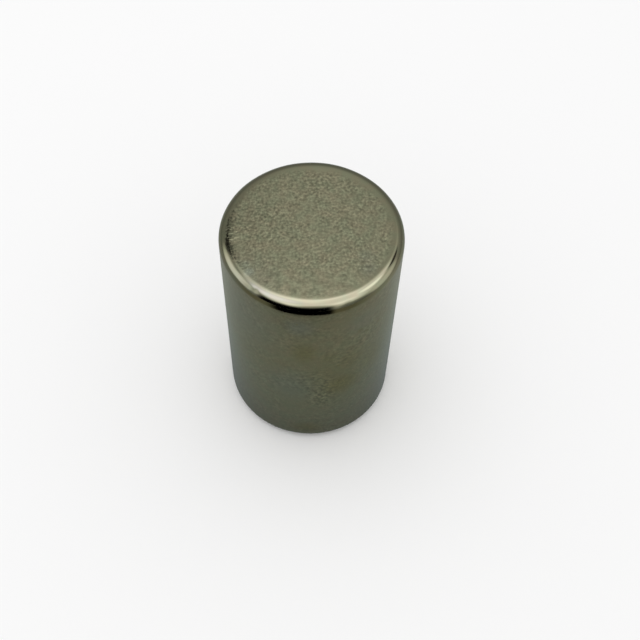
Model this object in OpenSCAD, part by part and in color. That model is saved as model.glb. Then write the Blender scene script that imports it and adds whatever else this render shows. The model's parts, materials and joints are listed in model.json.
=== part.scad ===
// Cylindrical sintered magnet with a bright nickel finish, standing on one of its flat pole faces.
// The origin is the centre of the lower pole face, and +Z runs up along the axis of the cylinder.
// One piece throughout: the pressed and ground blank was tumbled, which rounded both of its edges,
// and then plated all over. Every size here is taken over the plating.

/* [Body] */
// Diameter of the round wall
body_d = 12.7; // [8:0.05:40]
// Height from the lower pole face to the upper one
body_h = 19.05; // [6:0.05:60]

/* [Edges] */
// Radius of the tumbled edge, where the round wall turns into each pole face
edge_r = 0.75; // [0.1:0.05:1.9]

/* [Hidden] */

// Facets round the body in the preview mesh
$fn = 192;

// Warm grey of the nickel
nickel_colour = "#8c8978";

// Radius of the round wall
body_r = body_d / 2;
// Radius of the flat pole faces, inside the rounded edges
face_r = body_r - edge_r;
// Height of the straight stretch of the round wall, between the rounded edges
wall_h = body_h - 2 * edge_r;

// Half of the section through the axis: two crossed rectangles, with a quarter round in each corner
module half_section() {
    square([face_r, body_h]);
    translate([0, edge_r])
        square([body_r, wall_h]);
    for (centre_z = [edge_r, body_h - edge_r])
        translate([face_r, centre_z])
            circle(r = edge_r);
}

module magnet() {
    color(nickel_colour)
        rotate_extrude()
            half_section();
}

magnet();
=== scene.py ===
# Looks of the nickel-plated cylinder magnet: a dense visual mesh of the plated body, its finish, and the
# studio it stands in.
# Metres throughout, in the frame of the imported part: +Z up the axis, origin in the middle of the lower
# pole face. Azimuths are in degrees from the front, -Y, towards +X.
import json
import math

import bpy
from mathutils import Matrix, Vector, noise


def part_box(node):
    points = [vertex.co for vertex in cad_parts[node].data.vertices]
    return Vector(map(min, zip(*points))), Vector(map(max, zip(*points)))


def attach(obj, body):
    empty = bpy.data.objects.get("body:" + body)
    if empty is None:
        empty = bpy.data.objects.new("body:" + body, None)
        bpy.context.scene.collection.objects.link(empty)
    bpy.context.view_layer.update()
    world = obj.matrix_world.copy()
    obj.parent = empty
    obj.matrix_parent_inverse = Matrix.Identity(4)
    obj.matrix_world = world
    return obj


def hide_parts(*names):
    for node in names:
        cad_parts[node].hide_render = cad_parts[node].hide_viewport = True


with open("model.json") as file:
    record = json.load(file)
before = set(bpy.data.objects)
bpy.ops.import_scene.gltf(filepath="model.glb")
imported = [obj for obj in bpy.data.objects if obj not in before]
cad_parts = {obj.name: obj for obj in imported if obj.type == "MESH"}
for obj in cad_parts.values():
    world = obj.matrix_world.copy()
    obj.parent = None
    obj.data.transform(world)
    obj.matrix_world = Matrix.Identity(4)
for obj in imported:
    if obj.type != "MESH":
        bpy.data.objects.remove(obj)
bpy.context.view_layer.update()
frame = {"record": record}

MM = 0.001

# Sizes taken from the frame
LOW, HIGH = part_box("magnet")
BODY_R = (HIGH.x - LOW.x) / 2
BODY_H = HIGH.z - LOW.z
BARREL = next(mount for mount in frame["record"]["mounts"] if mount["name"] == "barrel")
EDGE_R = (BODY_H - BARREL["dims"]["length_mm"] * MM) / 2
FACE_R = BODY_R - EDGE_R


def linear(hex_colour):
    """Turns an sRGB hex colour into the linear values that shaders take."""
    parts = [int(hex_colour[i:i + 2], 16) / 255 for i in (1, 3, 5)]
    return [c / 12.92 if c <= 0.04045 else ((c + 0.055) / 1.055) ** 2.4 for c in parts] + [1.0]


def add_node(tree, kind, inputs=None, **settings):
    """Adds a node with its settings, and sets or links each of its inputs."""
    node = tree.nodes.new(kind)
    for name, value in settings.items():
        setattr(node, name, value)
    for socket, value in (inputs or {}).items():
        if isinstance(value, bpy.types.NodeSocket):
            tree.links.new(value, node.inputs[socket])
        else:
            node.inputs[socket].default_value = value
    return node


def new_material(name):
    """Makes an empty node material and returns it with its node tree."""
    material = bpy.data.materials.new(name)
    material.use_nodes = True
    material.node_tree.nodes.clear()
    return material, material.node_tree


def new_object(name, points, faces, material):
    """Makes a smooth-shaded mesh object at the origin."""
    mesh = bpy.data.meshes.new(name)
    mesh.from_pydata(points, [], faces)
    mesh.polygons.foreach_set("use_smooth", [True] * len(mesh.polygons))
    mesh.update()
    mesh.materials.append(material)
    made = bpy.data.objects.new(name, mesh)
    bpy.context.scene.collection.objects.link(made)
    return made


def direction(azimuth, elevation):
    """Unit vector at an azimuth and an elevation in degrees."""
    turn, rise = math.radians(azimuth), math.radians(elevation)
    return Vector((math.sin(turn) * math.cos(rise), -math.cos(turn) * math.cos(rise), math.sin(rise)))


# Camera

# It is close above the magnet, turned a little off its middle
IMAGE_WIDTH_PX = 640
FOCAL_LENGTH_PX = 1011.45
SENSOR_MM = 36.0
CAMERA_DISTANCE = 76.4 * MM
CAMERA_ELEVATION = math.radians(57.28)
CAMERA_YAW = math.radians(-0.550)
CAMERA_PITCH = math.radians(-0.776)
CAMERA_ROLL = math.radians(1.025)
NEAREST_SEEN = 1 * MM
FARTHEST_SEEN = 10.0


def set_camera():
    """Places the camera at the photo's viewing angle."""
    up_slope = Vector((0, math.sin(CAMERA_ELEVATION), math.cos(CAMERA_ELEVATION)))
    back = Vector((0, -math.cos(CAMERA_ELEVATION), math.sin(CAMERA_ELEVATION)))
    start = Matrix((Vector((1, 0, 0)), up_slope, back)).transposed()
    turns = (
        Matrix.Rotation(CAMERA_YAW, 3, "Y")
        @ Matrix.Rotation(CAMERA_PITCH, 3, "X")
        @ Matrix.Rotation(CAMERA_ROLL, 3, "Z")
    )
    place = Vector((0, 0, BODY_H / 2)) + back * CAMERA_DISTANCE
    data = bpy.data.cameras.new("camera")
    data.sensor_width = SENSOR_MM
    data.lens = FOCAL_LENGTH_PX / IMAGE_WIDTH_PX * SENSOR_MM
    data.clip_start = NEAREST_SEEN
    data.clip_end = FARTHEST_SEEN
    camera = bpy.data.objects.new("camera", data)
    camera.matrix_world = Matrix.Translation(place) @ (start @ turns).to_4x4()
    bpy.context.scene.collection.objects.link(camera)
    bpy.context.scene.camera = camera


# Body mesh

# How finely it is divided: round the axis, over an edge, up the wall and across a pole face
SEGMENTS = 320
EDGE_STEPS = 22
WALL_STEP = 0.3 * MM
FACE_STEP = 0.1 * MM

# Tumbling never rounds the edge quite evenly: share of the edge radius, waves round the rim, and their
# turn in radians
EDGE_WAVES = ((0.050, 1, 2.1), (0.020, 2, 0.7), (0.015, 5, 2.1), (0.010, 11, 4.0))

# It also wears the outer border of each pole face down, from a circle that lies a little off the axis, and
# less and less down the edge
FLAT_CENTRE = Vector((0.14 * MM, -0.03 * MM, 0))
FLAT_R = 5.32 * MM
ROLL_OFF = 0.060 / MM
ROLL_OFF_FADE = 4

# On one side it has worn more: the azimuth of that side, how much more, how much farther in the wear
# starts there, and how sharply both fall off
WORN_SIDE = -84
WORN_MORE = 1.6
WORN_IN = 0.05 * MM
WORN_SHARPNESS = 18

# Slow waves that centreless grinding and tumbling leave in the wall
WAVE_DEPTH = 0.006 * MM
WAVE_LENGTH = 3.0 * MM

# Knocks on the upper edge: azimuth, slope angle on the edge, width and depth in mm
KNOCKS = ((-37, 50, 0.22, 0.014), (-42, 42, 0.16, 0.008), (24, 35, 0.25, 0.012))


def edge_radius(turn):
    """Radius of the tumbled edge at an angle round the body."""
    share = sum(size * math.sin(count * turn + start) for size, count, start in EDGE_WAVES)
    return EDGE_R * (1 + share)


def half_section(edge):
    """Points up the section from one pole face to the other, each with its outward direction."""
    face_r = BODY_R - edge
    wall_h = BODY_H - 2 * edge
    face_steps = round(FACE_R / FACE_STEP)
    wall_steps = round((BODY_H - 2 * EDGE_R) / WALL_STEP)
    lower_face = [(face_r * i / face_steps, 0, 0, -1) for i in range(1, face_steps)]
    lower_edge = [
        (face_r + edge * math.cos(a), edge + edge * math.sin(a), math.cos(a), math.sin(a))
        for a in (math.pi / 2 * (i / EDGE_STEPS - 1) for i in range(EDGE_STEPS + 1))
    ]
    wall = [(BODY_R, edge + wall_h * i / wall_steps, 1, 0) for i in range(1, wall_steps)]
    upper_edge = [(r, BODY_H - z, out_r, -out_z) for r, z, out_r, out_z in reversed(lower_edge)]
    upper_face = [(r, BODY_H, 0, 1) for r, _, _, _ in reversed(lower_face)]
    return lower_face + lower_edge + wall + upper_edge + upper_face


def worn_side(place):
    """1 in the middle of the side that has worn more, and 0 away from it."""
    facing = Vector((place.x, place.y, 0)).normalized() @ direction(WORN_SIDE, 0)
    return max(0, facing) ** WORN_SHARPNESS


def wear_depth(place):
    """How far tumbling has worn the border of a pole face down at a place."""
    spread = math.hypot(place.x - FLAT_CENTRE.x, place.y - FLAT_CENTRE.y)
    worn = worn_side(place)
    return ROLL_OFF * (1 + WORN_MORE * worn) * max(0, spread - FLAT_R + WORN_IN * worn) ** 2


def wave_depth(place):
    """How deep the slow waves of the wall are at a place, from noise that runs from -1 to 1."""
    share = 0.5 + 0.5 * noise.noise(place / WAVE_LENGTH)
    return WAVE_DEPTH * max(0, share)


def knock_depth(place):
    """How deep the knocks on the upper edge are at a place."""
    depth = 0
    for azimuth, slope, width, deep in KNOCKS:
        on_edge = direction(azimuth, slope)
        middle = direction(azimuth, 0) * FACE_R + on_edge * EDGE_R + Vector((0, 0, BODY_H - EDGE_R))
        away = (place - middle).length / (width * MM)
        depth += deep * MM * math.exp(-away * away)
    return depth


def body_points():
    """The section carried round the axis, with the small unevenness of the real magnet cut into it."""
    points = [Vector((0, 0, 0))]
    for segment in range(SEGMENTS):
        turn = 2 * math.pi * segment / SEGMENTS
        for r, z, out_r, out_z in half_section(edge_radius(turn)):
            place = Vector((math.sin(turn) * r, -math.cos(turn) * r, z))
            outward = Vector((math.sin(turn) * out_r, -math.cos(turn) * out_r, out_z))
            worn = wear_depth(place) * out_z ** ROLL_OFF_FADE
            depth = wave_depth(place) * out_r + worn + knock_depth(place)
            points.append(place - outward * depth)
    points.append(Vector((0, 0, BODY_H)))
    return points


def body_faces(rings):
    """Faces that join each section to the next one, and close both pole faces in their middle."""
    top = 1 + SEGMENTS * rings
    faces = []
    for segment in range(SEGMENTS):
        here = 1 + segment * rings
        after = 1 + (segment + 1) % SEGMENTS * rings
        faces.append((0, after, here))
        for ring in range(rings - 1):
            faces.append((here + ring, after + ring, after + ring + 1, here + ring + 1))
        faces.append((here + rings - 1, after + rings - 1, top))
    return faces


def magnet_body(finish):
    """The plated body of the magnet."""
    rings = len(half_section(EDGE_R))
    return new_object("magnet_plated", body_points(), body_faces(rings), finish)


# Nickel finish

EDGE_ROUGHNESS = 0.11
FACE_ROUGHNESS = 0.17
WALL_ROUGHNESS = 0.20

# Distances from both ends of the body at which the wall's finish is whole, and at which it has gone
WALL_WHOLE = 1.1 * MM
WALL_GONE = 0.5 * MM

# The middle value of noise, and the values of it between which patches and clouds change over
NOISE_MIDDLE = 0.5
PATCH_LOW = 0.38
PATCH_HIGH = 0.62
CLOUD_LOW = 0.35
CLOUD_HIGH = 0.65

# Grain of the pole faces: the sintered grain itself is far too fine to show, so it is drawn as coarse as
# the plated face looks in the photo, in cells of about 0.2 mm. They gather in clumps, and stand out more
# in some patches than in others
GRAIN_CELL = 0.19 * MM
CLUMP_CELL = 0.55 * MM
CLUMP_SHARE = 0.05
GRAIN_PATCH = 1.3 * MM
GRAIN_CONTRAST = 1.5
GRAIN_FAINT = 0.8
GRAIN_STRONG = 1.2
GRAIN_DEPTH = 0.013 * MM

# Towards the front the cells are coarser: their size, the two places along Y between which they change,
# and the share of coarse cells there
GRAIN_CELL_FRONT = 0.27 * MM
FRONT_FROM = -2.5 * MM
FRONT_TO = -4.5 * MM
FRONT_SHARE = 0.7

# The grained disc, a little narrower from front to back: its middle, its radius where the grain is whole
# and where it has gone, and how far its border wanders
GRAIN_CENTRE = Vector((-0.14 * MM, -0.10 * MM, 0))
GRAIN_SQUEEZE = 1.06
GRAIN_INSIDE = 5.30 * MM
GRAIN_OUTSIDE = 5.85 * MM
GRAIN_WANDER = 0.5 * MM
WANDER_LENGTH = 1.2 * MM

# At the worn side the plating has short bristles across the border of the face: azimuth of the middle of
# that place, its distance from the axis, its radius, the size of a bristle, and how many times as high as
# the grain it stands
BRISTLED_AZIMUTH = -86
BRISTLED_DISTANCE = 5.55 * MM
BRISTLED_R = 1.1 * MM
BRISTLE_SIZE = Vector((0.55 * MM, 0.20 * MM, 0.20 * MM))
BRISTLE_HEIGHT = 4.2

# Warm and cool clouds in the plating, the bluer haze on parts of the wall, and its olive stains
CLOUD_LENGTH = 0.9 * MM
WARM_NICKEL = "#928a71"
COOL_NICKEL = "#8e8c72"
HAZE_COLOUR = "#8a8c80"
STAIN_COLOUR = "#857b50"

# Mottling of the wall, in patches, and its fine ripple
MOTTLE_CELL = 0.26 * MM
MOTTLE_PATCH = 2.2 * MM
MOTTLE_CONTRAST = 0.8
MOTTLE_FAINT = 0.3
MOTTLE_STRONG = 1.0
RIPPLE_CELL = 0.35 * MM
RIPPLE_DEPTH = 0.008 * MM

# Share of a spot's size within which it has its whole strength
SPOT_CORE = 0.1

# Where grinding has left the wall more mottled: azimuth, height, half width, half height in mm, strength
ROUGH_PLACES = (
    (6, 8.8, 1.8, 2.4, 0.9),
    (9, 6.6, 1.8, 2.0, 1.0),
    (25, 11.5, 1.4, 1.6, 0.65),
    (38, 13.5, 1.6, 2.2, 0.7),
)

# Haze and stains on the wall: azimuth, height, half width, half height in mm, strength
HAZES = (
    (-44, 15.5, 4.4, 5.5, 0.6),
    (-12, 8.6, 3.0, 3.4, 0.5),
    (-7, 16.6, 1.7, 1.6, 0.7),
    (34, 16.0, 2.0, 2.0, 0.4),
)
STAINS = (
    (21, 9.5, 3.4, 5.4, 0.35),
    (22, 8.3, 2.3, 2.5, 0.75),
    (27, 11.2, 1.8, 2.8, 0.40),
    (19.7, 8.7, 0.28, 0.7, 0.9),
    (18.9, 11.1, 0.18, 0.18, 0.9),
    (13, 12.4, 1.4, 1.4, 0.30),
    (-3, 13.3, 1.4, 1.9, 0.50),
    (-1, 1.8, 1.8, 1.2, 0.50),
    (46, 10.0, 2.0, 2.5, 0.40),
    (32.8, 14.9, 0.4, 0.4, 0.35),
    (37.7, 14.4, 0.3, 0.25, 0.4),
    (41, 12, 0.3, 0.25, 0.35),
    (48, 14.5, 0.3, 0.3, 0.4),
    (-16, 17.7, 0.15, 0.12, 0.7),
    (-8, 17.0, 0.12, 0.12, 0.6),
    (42, 7.9, 0.15, 0.15, 0.7),
)

# Painted highlights and darker bluish-grey places near the border of the upper face: azimuth, distance from
# the axis and radius in mm, strength
# Pale bluish spots painted on the face border as highlights
PAINTED_HIGHLIGHT_COLOUR = "#b6b9a6"
PAINTED_HIGHLIGHT_PLACES = ((-49, 5.40, 0.5, 0.5), (-56, 5.2, 0.45, 0.15))
# Darker bluish-grey places on the face, in colour only, with the same finish as round them
DARKER_SPOT_COLOUR = "#737970"
DARKER_SPOTS = ((51, 4.95, 0.9, 0.25), (60, 4.3, 0.9, 0.2))


def grained_share(tree, place):
    """1 on the grained disc of each pole face and 0 outside it, with an uneven border."""
    off_centre = add_node(tree, "ShaderNodeVectorMath", {0: place, 1: GRAIN_CENTRE}, operation="SUBTRACT")
    flat = add_node(
        tree, "ShaderNodeVectorMath",
        {0: off_centre.outputs[0], 1: (1, GRAIN_SQUEEZE, 0)}, operation="MULTIPLY",
    )
    spread = add_node(tree, "ShaderNodeVectorMath", {0: flat.outputs[0]}, operation="LENGTH")
    wander = add_node(
        tree, "ShaderNodeTexNoise", {"Vector": place, "Scale": 1 / WANDER_LENGTH, "Detail": 2.0}
    )
    wandering = add_node(
        tree, "ShaderNodeMath",
        {0: wander.outputs[0], 1: GRAIN_WANDER, 2: spread.outputs["Value"]}, operation="MULTIPLY_ADD",
    )
    return add_node(
        tree, "ShaderNodeMapRange",
        {
            "Value": wandering.outputs[0], "From Min": GRAIN_INSIDE + GRAIN_WANDER / 2,
            "From Max": GRAIN_OUTSIDE + GRAIN_WANDER / 2, "To Min": 1.0, "To Max": 0.0,
        },
        interpolation_type="SMOOTHSTEP",
    ).outputs[0]


def wall_share(tree, axes):
    """1 on the round wall and 0 on its edges and the pole faces."""
    rise = add_node(tree, "ShaderNodeMath", {0: axes.outputs["Z"], 1: BODY_H / 2}, operation="SUBTRACT")
    rise_size = add_node(tree, "ShaderNodeMath", {0: rise.outputs[0]}, operation="ABSOLUTE")
    return add_node(
        tree, "ShaderNodeMapRange",
        {
            "Value": rise_size.outputs[0], "From Min": BODY_H / 2 - WALL_WHOLE,
            "From Max": BODY_H / 2 - WALL_GONE, "To Min": 1.0, "To Max": 0.0,
        },
        interpolation_type="SMOOTHSTEP",
    ).outputs[0]


def grain_noise(tree, place, axes):
    """Fine grain in clumps, which grows coarser towards the front of the face."""
    fine = add_node(tree, "ShaderNodeTexNoise", {"Vector": place, "Scale": 1 / GRAIN_CELL, "Detail": 1.0})
    coarse = add_node(
        tree, "ShaderNodeTexNoise",
        {"Vector": place, "Scale": 1 / GRAIN_CELL_FRONT, "Detail": 1.0, "Roughness": 0.4},
    )
    front = add_node(
        tree, "ShaderNodeMapRange",
        {
            "Value": axes.outputs["Y"], "From Min": FRONT_FROM, "From Max": FRONT_TO,
            "To Min": 0.0, "To Max": FRONT_SHARE,
        },
        interpolation_type="SMOOTHSTEP",
    )
    grain = add_node(
        tree, "ShaderNodeMix", {"Factor": front.outputs[0], "A": fine.outputs[0], "B": coarse.outputs[0]}
    )
    clumps = add_node(
        tree, "ShaderNodeTexNoise", {"Vector": place, "Scale": 1 / CLUMP_CELL, "Detail": 1.0}
    )
    return add_node(
        tree, "ShaderNodeMix",
        {"Factor": CLUMP_SHARE, "A": grain.outputs["Result"], "B": clumps.outputs[0]},
    ).outputs["Result"]


def patchy(tree, place, size, least, most):
    """A strength that drifts between two values from patch to patch."""
    patches = add_node(tree, "ShaderNodeTexNoise", {"Vector": place, "Scale": 1 / size, "Detail": 1.0})
    return add_node(
        tree, "ShaderNodeMapRange",
        {
            "Value": patches.outputs[0], "From Min": PATCH_LOW, "From Max": PATCH_HIGH,
            "To Min": least, "To Max": most,
        },
    ).outputs[0]


def soft_spot(tree, place, middle, half_width, half_height, strength):
    """Strength in the middle of a spot, fading to nothing at its border."""
    away = add_node(tree, "ShaderNodeVectorMath", {0: place, 1: middle}, operation="SUBTRACT")
    stretch = (1 / (half_width * MM), 1 / (half_width * MM), 1 / (half_height * MM))
    scaled = add_node(tree, "ShaderNodeVectorMath", {0: away.outputs[0], 1: stretch}, operation="MULTIPLY")
    spread = add_node(tree, "ShaderNodeVectorMath", {0: scaled.outputs[0]}, operation="LENGTH")
    return add_node(
        tree, "ShaderNodeMapRange",
        {
            "Value": spread.outputs["Value"], "From Min": SPOT_CORE, "From Max": 1.0,
            "To Min": strength, "To Max": 0.0,
        },
        interpolation_type="SMOOTHSTEP",
    ).outputs[0]


def wall_spot(tree, place, azimuth, height, half_width, half_height, strength):
    """Share of a spot on the wall."""
    middle = direction(azimuth, 0) * BODY_R + Vector((0, 0, height * MM))
    return soft_spot(tree, place, middle, half_width, half_height, strength)


def face_spot(tree, place, azimuth, distance, radius, strength):
    """Share of a spot on the upper face."""
    middle = direction(azimuth, 0) * distance * MM + Vector((0, 0, BODY_H))
    return soft_spot(tree, place, middle, radius, radius, strength)


def tone_change(tree, pattern, strength, region):
    """How much lighter or darker a pattern makes the metal in its own region."""
    share = add_node(tree, "ShaderNodeMath", {0: strength, 1: region}, operation="MULTIPLY")
    change = add_node(tree, "ShaderNodeMath", {0: pattern, 1: NOISE_MIDDLE}, operation="SUBTRACT")
    return add_node(
        tree, "ShaderNodeMath", {0: change.outputs[0], 1: share.outputs[0]}, operation="MULTIPLY"
    ).outputs[0]


def grain_tone(tree, place, grain, grained):
    """Lighter and darker grains on the pole faces."""
    strength = patchy(
        tree, place, GRAIN_PATCH, GRAIN_FAINT * GRAIN_CONTRAST, GRAIN_STRONG * GRAIN_CONTRAST
    )
    return tone_change(tree, grain, strength, grained)


def mottle_tone(tree, place, wall):
    """Lighter and darker mottling on the wall."""
    mottle = add_node(
        tree, "ShaderNodeTexNoise", {"Vector": place, "Scale": 1 / MOTTLE_CELL, "Detail": 1.0}
    )
    strength = patchy(
        tree, place, MOTTLE_PATCH, MOTTLE_FAINT * MOTTLE_CONTRAST, MOTTLE_STRONG * MOTTLE_CONTRAST
    )
    for rough_place in ROUGH_PLACES:
        rough = wall_spot(tree, place, *rough_place)
        strength = add_node(tree, "ShaderNodeMath", {0: strength, 1: rough}, operation="ADD").outputs[0]
    return tone_change(tree, mottle.outputs[0], strength, wall)


def clouded(tree, place):
    """Nickel in warm brown and green-grey clouds."""
    clouds = add_node(
        tree, "ShaderNodeTexNoise", {"Vector": place, "Scale": 1 / CLOUD_LENGTH, "Detail": 2.0}
    )
    warm_or_cool = add_node(
        tree, "ShaderNodeMapRange",
        {"Value": clouds.outputs[0], "From Min": CLOUD_LOW, "From Max": CLOUD_HIGH},
    )
    return add_node(
        tree, "ShaderNodeMix",
        {"Factor": warm_or_cool.outputs[0], "A": linear(WARM_NICKEL), "B": linear(COOL_NICKEL)},
        data_type="RGBA",
    ).outputs["Result"]


def tinted(tree, place, colour, kind, spots, tint):
    """A colour with spots of another one on the wall or on the upper face."""
    share = 0.0
    for one_spot in spots:
        strength = kind(tree, place, *one_spot)
        share = add_node(tree, "ShaderNodeMath", {0: share, 1: strength}, operation="MAXIMUM").outputs[0]
    return add_node(
        tree, "ShaderNodeMix", {"Factor": share, "A": colour, "B": linear(tint)}, data_type="RGBA"
    ).outputs["Result"]


def nickel_colour(tree, place, grain, grained, wall):
    """Clouded nickel with its haze, stains, painted highlights and darker bluish-grey places, toned from
    grain to grain.
    """
    colour = clouded(tree, place)
    # The pale face spots are painted highlights
    for kind, spots, tint in (
        (wall_spot, HAZES, HAZE_COLOUR), (wall_spot, STAINS, STAIN_COLOUR),
        (face_spot, PAINTED_HIGHLIGHT_PLACES, PAINTED_HIGHLIGHT_COLOUR), (face_spot, DARKER_SPOTS, DARKER_SPOT_COLOUR),
    ):
        colour = tinted(tree, place, colour, kind, spots, tint)
    tone = 1.0
    for change in (grain_tone(tree, place, grain, grained), mottle_tone(tree, place, wall)):
        tone = add_node(tree, "ShaderNodeMath", {0: change, 1: tone}, operation="ADD").outputs[0]
    return add_node(tree, "ShaderNodeVectorMath", {0: colour, "Scale": tone}, operation="SCALE").outputs[0]


def bristle_height(tree, place):
    """Height of the short bristles at the worn side."""
    middle = direction(BRISTLED_AZIMUTH, 0) * BRISTLED_DISTANCE + Vector((0, 0, BODY_H))
    away = add_node(tree, "ShaderNodeVectorMath", {0: place, 1: middle}, operation="DISTANCE")
    share = add_node(
        tree, "ShaderNodeMapRange",
        {
            "Value": away.outputs["Value"], "From Min": 0.0, "From Max": BRISTLED_R,
            "To Min": BRISTLE_HEIGHT, "To Max": 0.0,
        },
        interpolation_type="SMOOTHSTEP",
    )
    stretch = [1 / size for size in BRISTLE_SIZE]
    stretched = add_node(tree, "ShaderNodeVectorMath", {0: place, 1: stretch}, operation="MULTIPLY")
    bristles = add_node(
        tree, "ShaderNodeTexNoise", {"Vector": stretched.outputs[0], "Scale": 1.0, "Detail": 1.0}
    )
    return add_node(
        tree, "ShaderNodeMath", {0: bristles.outputs[0], 1: share.outputs[0]}, operation="MULTIPLY"
    ).outputs[0]


def nickel_relief(tree, place, grain, grained, wall):
    """The relief of the grain and the bristles on the faces, and the fine ripple of the wall."""
    uneven = add_node(tree, "ShaderNodeMath", {0: grain, 1: bristle_height(tree, place)}, operation="ADD")
    grain_height = add_node(
        tree, "ShaderNodeMath", {0: uneven.outputs[0], 1: grained}, operation="MULTIPLY"
    )
    grain_bump = add_node(
        tree, "ShaderNodeBump",
        {"Strength": 1.0, "Distance": GRAIN_DEPTH, "Height": grain_height.outputs[0]},
    )
    ripple = add_node(
        tree, "ShaderNodeTexNoise",
        {"Vector": place, "Scale": 1 / RIPPLE_CELL, "Detail": 3.0, "Roughness": 0.6},
    )
    ripple_height = add_node(tree, "ShaderNodeMath", {0: ripple.outputs[0], 1: wall}, operation="MULTIPLY")
    return add_node(
        tree, "ShaderNodeBump",
        {
            "Strength": 1.0, "Distance": RIPPLE_DEPTH, "Height": ripple_height.outputs[0],
            "Normal": grain_bump.outputs[0],
        },
    ).outputs[0]


def satin_nickel():
    """Nickel over a sintered, ground and tumbled magnet: one warm grey metal, mirror-smooth where the
    tumbling media rubbed the edges, a little softer on the ground wall, and finely grained on the pole
    faces, where the plating repeats the sintered surface below it."""
    material, tree = new_material("satin_nickel")
    place = add_node(tree, "ShaderNodeTexCoord").outputs["Object"]
    axes = add_node(tree, "ShaderNodeSeparateXYZ", {0: place})
    grained = grained_share(tree, place)
    wall = wall_share(tree, axes)
    grain = grain_noise(tree, place, axes)
    face_roughness = add_node(
        tree, "ShaderNodeMapRange",
        {"Value": grained, "To Min": EDGE_ROUGHNESS, "To Max": FACE_ROUGHNESS},
    )
    roughness = add_node(
        tree, "ShaderNodeMath",
        {0: wall, 1: WALL_ROUGHNESS - EDGE_ROUGHNESS, 2: face_roughness.outputs[0]},
        operation="MULTIPLY_ADD",
    )
    shader = add_node(
        tree, "ShaderNodeBsdfPrincipled",
        {
            "Base Color": nickel_colour(tree, place, grain, grained, wall), "Metallic": 1.0,
            "Roughness": roughness.outputs[0], "Normal": nickel_relief(tree, place, grain, grained, wall),
        },
    )
    add_node(tree, "ShaderNodeOutputMaterial", {"Surface": shader.outputs[0]})
    return material


# Light tent

# Its middle is at the height of the rim
TENT_R = 300 * MM
TENT_HEIGHT = BODY_H - EDGE_R / 2
TENT_SEGMENTS = 48

# Its brightest part, its light by the angle from there in degrees, and the most of that light
OVERHEAD_AZIMUTH = 11
OVERHEAD_ELEVATION = 70
TENT_LIGHT = (
    (0, 2.75), (28, 3.00), (34, 2.50), (40, 1.80), (46, 1.18), (50, 0.93), (53, 0.85), (57, 0.86),
    (60, 0.83), (66, 0.64), (72, 0.49), (80, 0.42), (90, 0.33), (105, 0.27),
)
TENT_PEAK = 3.0

# Colour of the cloth where its light is soft and where it is strong, and the strengths between which it
# changes
TENT_COLOUR = "#f8ffff"
GLARE_COLOUR = "#eff3ff"
GLARE_FROM = 1.0
GLARE_TO = 2.0

# The cloth is bluer on the left: azimuth, elevation, inner and outer angle, and strength of that part
BLUE_COLOUR = "#e2e4ff"
BLUE_PART = (-58, 62, 8, 24, 1.0)

# Lamps behind the cloth and dark places in it: azimuth, elevation, inner and outer angle, strength
TENT_LAMPS = (
    (-77, 25, 0, 26, 2.10),
    (-92, 26, 0, 31, 2.00),
    (82, 23, 0, 31, 1.34),
    (23, 69, 16, 66, 2.3),
    (-53, 62, 4, 27, 3.4),
    (87, 56, 0, 18, 4.0),
    (108, 60, 0, 20, 2.3),
)
TENT_SHADES = (
    (4, 33, 0, 25, 0.78),
    (3, 58, 2, 22, 0.15),
    (-133, 41, 5, 12, 1.0),
    (-126, 33, 2, 9, 1.0),
    (-149, 50, 2, 7.5, 0.9),
    (-158, 51, 4, 15, 0.36),
    (158, 52, 4, 15, 0.27),
    (-108, 44, 3, 12, 0.35),
    (114, 39, 4, 10.5, 0.95),
    (75, 62, 6, 28, 0.2),
    (-62, 25, 2, 21, 0.35),
    (45, 6, 8, 23, 0.5),
)

# Black flag in front, which draws the dark line under the bright rim: the azimuths of its two soft borders
# in the tent and on the mat, the elevations between which it ends at the top, and the distances from the
# axis in mm between which it starts on the mat
FLAG_IN_TENT = ((-60, -49), (18, 28))
FLAG_ON_MAT = ((-46, -31), (19, 26))
FLAG_TOP = (23, 43)
FLAG_START = (18.6, 20.2)


def only_reflected(prop):
    """Hides a studio prop from everything but the reflections in the metal."""
    prop.visible_camera = False
    prop.visible_diffuse = False
    prop.visible_shadow = False
    prop.visible_transmission = False
    prop.visible_volume_scatter = False


def give_light(material, tree, colour, strength):
    """Makes a material give off light, which only reflections pick up."""
    emission = add_node(tree, "ShaderNodeEmission", {"Color": colour, "Strength": strength})
    add_node(tree, "ShaderNodeOutputMaterial", {"Surface": emission.outputs[0]})
    material.cycles.emission_sampling = "NONE"
    return material


def fill_ramp(node, stops):
    """Gives a colour ramp its stops: positions and colours."""
    elements = node.color_ramp.elements
    while len(elements) < len(stops):
        elements.new(0.5)
    for element, (position, colour) in zip(elements, sorted(stops)):
        element.position = position
        element.color = colour


def azimuth_of(tree, place):
    """Azimuth of a place in radians."""
    axes = add_node(tree, "ShaderNodeSeparateXYZ", {0: place})
    forward = add_node(tree, "ShaderNodeMath", {0: axes.outputs["Y"], 1: -1.0}, operation="MULTIPLY")
    return add_node(
        tree, "ShaderNodeMath", {0: axes.outputs["X"], 1: forward.outputs[0]}, operation="ARCTAN2"
    ).outputs[0]


def between(tree, azimuth, borders):
    """1 between the two soft borders of the flag, and 0 outside them."""
    (left_out, left_in), (right_in, right_out) = borders
    shares = [
        add_node(
            tree, "ShaderNodeMapRange",
            {"Value": azimuth, "From Min": math.radians(outside), "From Max": math.radians(inside)},
            interpolation_type="SMOOTHSTEP",
        ).outputs[0]
        for outside, inside in ((left_out, left_in), (right_out, right_in))
    ]
    return add_node(tree, "ShaderNodeMath", {0: shares[0], 1: shares[1]}, operation="MULTIPLY").outputs[0]


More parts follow.
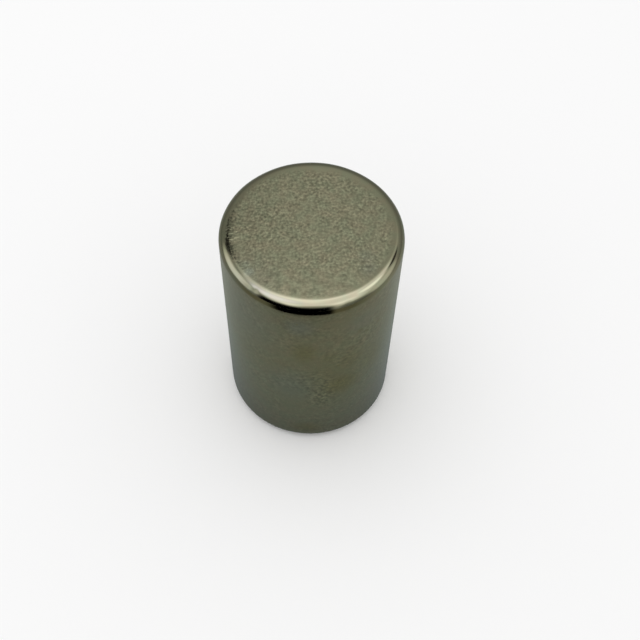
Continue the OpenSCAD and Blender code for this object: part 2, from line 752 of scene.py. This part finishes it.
def spot(tree, heading, azimuth, elevation, inner, outer, strength):
    """Strength inside an angle round a direction, fading to nothing at a wider angle."""
    along = add_node(
        tree, "ShaderNodeVectorMath", {0: heading, 1: direction(azimuth, elevation)},
        operation="DOT_PRODUCT",
    )
    return add_node(
        tree, "ShaderNodeMapRange",
        {
            "Value": along.outputs["Value"], "From Min": math.cos(math.radians(outer)),
            "From Max": math.cos(math.radians(inner)), "To Min": 0.0, "To Max": strength,
        },
        interpolation_type="SMOOTHSTEP",
    ).outputs[0]


def darken(tree, light, share):
    """Light less a share of it."""
    left = add_node(tree, "ShaderNodeMath", {0: 1.0, 1: share}, operation="SUBTRACT")
    return add_node(tree, "ShaderNodeMath", {0: light, 1: left.outputs[0]}, operation="MULTIPLY").outputs[0]


def overhead_light(tree, heading):
    """Light of the cloth by the angle from its brightest part."""
    overhead = direction(OVERHEAD_AZIMUTH, OVERHEAD_ELEVATION)
    along = add_node(tree, "ShaderNodeVectorMath", {0: heading, 1: overhead}, operation="DOT_PRODUCT")
    share = add_node(
        tree, "ShaderNodeMapRange", {"Value": along.outputs["Value"], "From Min": -1.0, "From Max": 1.0}
    )
    ramp = add_node(tree, "ShaderNodeValToRGB", {0: share.outputs[0]})
    fill_ramp(ramp, [
        ((math.cos(math.radians(angle)) + 1) / 2, [light / TENT_PEAK] * 3 + [1])
        for angle, light in TENT_LIGHT
    ])
    return add_node(
        tree, "ShaderNodeMath", {0: ramp.outputs[0], 1: TENT_PEAK}, operation="MULTIPLY"
    ).outputs[0]


def cloth_light(tree, heading):
    """The overhead light with the lamps behind the cloth, less the dark places in it."""
    light = overhead_light(tree, heading)
    for lamp in TENT_LAMPS:
        glow = spot(tree, heading, *lamp)
        light = add_node(tree, "ShaderNodeMath", {0: light, 1: glow}, operation="MAXIMUM").outputs[0]
    for shade in TENT_SHADES:
        light = darken(tree, light, spot(tree, heading, *shade))
    return light


def cloth_colour(tree, heading, light):
    """Colour of the cloth by the strength of its light, and bluer on the left."""
    glare_share = add_node(
        tree, "ShaderNodeMapRange", {"Value": light, "From Min": GLARE_FROM, "From Max": GLARE_TO}
    )
    cloth = add_node(
        tree, "ShaderNodeMix",
        {"Factor": glare_share.outputs[0], "A": linear(TENT_COLOUR), "B": linear(GLARE_COLOUR)},
        data_type="RGBA",
    )
    return add_node(
        tree, "ShaderNodeMix",
        {"Factor": spot(tree, heading, *BLUE_PART), "A": cloth.outputs["Result"], "B": linear(BLUE_COLOUR)},
        data_type="RGBA",
    ).outputs["Result"]


def flag_in_tent(tree, heading):
    """1 on the black flag in the tent and 0 outside it, with soft borders."""
    rise = add_node(tree, "ShaderNodeSeparateXYZ", {0: heading}).outputs["Z"]
    below_top = add_node(
        tree, "ShaderNodeMapRange",
        {
            "Value": rise, "From Min": math.sin(math.radians(FLAG_TOP[1])),
            "From Max": math.sin(math.radians(FLAG_TOP[0])),
        },
        interpolation_type="SMOOTHSTEP",
    )
    across = between(tree, azimuth_of(tree, heading), FLAG_IN_TENT)
    return add_node(
        tree, "ShaderNodeMath", {0: across, 1: below_top.outputs[0]}, operation="MULTIPLY"
    ).outputs[0]


def tent_material():
    """Pale cloth lit from above and by lamps at its sides, with a black flag in front."""
    material, tree = new_material("tent_light")
    place = add_node(tree, "ShaderNodeTexCoord").outputs["Object"]
    heading = add_node(tree, "ShaderNodeVectorMath", {0: place}, operation="NORMALIZE").outputs[0]
    light = cloth_light(tree, heading)
    colour = cloth_colour(tree, heading, light)
    return give_light(material, tree, colour, darken(tree, light, flag_in_tent(tree, heading)))


def light_tent():
    """The dome of light that the metal reflects."""
    bpy.ops.mesh.primitive_uv_sphere_add(
        segments=TENT_SEGMENTS, ring_count=TENT_SEGMENTS // 2, radius=TENT_R, location=(0, 0, TENT_HEIGHT)
    )
    tent = bpy.context.object
    tent.name = "light_tent"
    tent.data.materials.append(tent_material())
    only_reflected(tent)


# Bench mat

# It lies just above the floor
MAT_R = 290 * MM
MAT_HEIGHT = 0.02 * MM
MAT_SEGMENTS = 64

# Its colour close by, by the distance from the axis in mm: darker and bluer at the magnet's foot, painted
# shade
MAT_NEAR_SHADED = (
    (6.35, "#798080"), (7.2, "#828989"), (8.3, "#8b9391"),
    (10, "#929b97"), (13, "#9aa098"), (17, "#a4a8a1"),
)

# Its colour farther off, by azimuth: brownish in front, lighter on both sides
MAT_FAR = (
    (-180, "#9da2a0"), (-135, "#a4aaa8"), (-105, "#a8adab"), (-85, "#a0a6a4"), (-65, "#8f8e7c"),
    (-20, "#8a8977"), (40, "#878674"), (60, "#a2a69e"), (85, "#c0c7c4"), (105, "#b6bcb9"),
    (135, "#a0a6a4"), (180, "#9da2a0"),
)


def mat_colour(tree, spread, azimuth, away):
    """Grey-green close by, with painted shade at the foot of the magnet, and by azimuth farther off."""
    near_end = MAT_NEAR_SHADED[-1][0]
    near_share = add_node(tree, "ShaderNodeMath", {0: spread, 1: near_end * MM}, operation="DIVIDE")
    near = add_node(tree, "ShaderNodeValToRGB", {0: near_share.outputs[0]})
    fill_ramp(near, [(distance / near_end, linear(colour)) for distance, colour in MAT_NEAR_SHADED])
    far_share = add_node(
        tree, "ShaderNodeMapRange", {"Value": azimuth, "From Min": -math.pi, "From Max": math.pi}
    )
    far = add_node(tree, "ShaderNodeValToRGB", {0: far_share.outputs[0]})
    fill_ramp(far, [((side + 180) / 360, linear(colour)) for side, colour in MAT_FAR])
    return add_node(
        tree, "ShaderNodeMix", {"Factor": away, "A": near.outputs[0], "B": far.outputs[0]}, data_type="RGBA"
    ).outputs["Result"]


def mat_material():
    """A grey-green mat round the magnet, far darker than the floor, with the foot of the flag on it."""
    material, tree = new_material("mat_light")
    place = add_node(tree, "ShaderNodeTexCoord").outputs["Object"]
    spread = add_node(tree, "ShaderNodeVectorMath", {0: place}, operation="LENGTH").outputs["Value"]
    azimuth = azimuth_of(tree, place)
    away = add_node(
        tree, "ShaderNodeMapRange",
        {"Value": spread, "From Min": FLAG_START[0] * MM, "From Max": FLAG_START[1] * MM},
        interpolation_type="SMOOTHSTEP",
    ).outputs[0]
    flag = add_node(
        tree, "ShaderNodeMath", {0: between(tree, azimuth, FLAG_ON_MAT), 1: away}, operation="MULTIPLY"
    )
    colour = mat_colour(tree, spread, azimuth, away)
    return give_light(material, tree, colour, darken(tree, 1.0, flag.outputs[0]))


def bench_mat():
    """A disc that only reflections see."""
    bpy.ops.mesh.primitive_circle_add(
        vertices=MAT_SEGMENTS, radius=MAT_R, fill_type="NGON", location=(0, 0, MAT_HEIGHT)
    )
    mat = bpy.context.object
    mat.name = "bench_mat"
    mat.data.materials.append(mat_material())
    only_reflected(mat)


# Floor and lamps

FLOOR_SIZE = 1200 * MM
FLOOR_COLOUR = "#f6f6f6"
FLOOR_ROUGHNESS = 0.9
SKY_COLOUR = "#fcfcfc"
SKY_STRENGTH = 0.96
LAMP_PLACE = Vector((-40 * MM, 20 * MM, 260 * MM))
LAMP_SIZE = 240 * MM
LAMP_WATTS = 0.097


def floor():
    """A plain pale floor."""
    material, tree = new_material("pale_floor")
    shader = add_node(
        tree, "ShaderNodeBsdfPrincipled",
        {"Base Color": linear(FLOOR_COLOUR), "Roughness": FLOOR_ROUGHNESS, "Specular IOR Level": 0.0},
    )
    add_node(tree, "ShaderNodeOutputMaterial", {"Surface": shader.outputs[0]})
    bpy.ops.mesh.primitive_plane_add(size=FLOOR_SIZE, location=(0, 0, 0))
    plane = bpy.context.object
    plane.name = "floor"
    plane.data.materials.append(material)


def pale_world():
    """An even pale light from all round."""
    world = bpy.data.worlds.new("pale_world")
    world.use_nodes = True
    world.node_tree.nodes.clear()
    sky = add_node(
        world.node_tree, "ShaderNodeBackground", {"Color": linear(SKY_COLOUR), "Strength": SKY_STRENGTH}
    )
    add_node(world.node_tree, "ShaderNodeOutputWorld", {"Surface": sky.outputs[0]})
    bpy.context.scene.world = world


def soft_lamp():
    """One large soft lamp overhead, which gives the magnet its soft shadow."""
    data = bpy.data.lights.new("soft_lamp", "AREA")
    data.shape = "DISK"
    data.size = LAMP_SIZE
    data.energy = LAMP_WATTS
    lamp = bpy.data.objects.new("soft_lamp", data)
    lamp.location = LAMP_PLACE
    lamp.rotation_euler = (-LAMP_PLACE).to_track_quat("-Z", "Y").to_euler()
    lamp.visible_glossy = False
    bpy.context.scene.collection.objects.link(lamp)


set_camera()
body = magnet_body(satin_nickel())
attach(body, "root")
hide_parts("magnet")
light_tent()
bench_mat()
floor()
pale_world()
soft_lamp()
bpy.context.scene.view_settings.view_transform = "Standard"
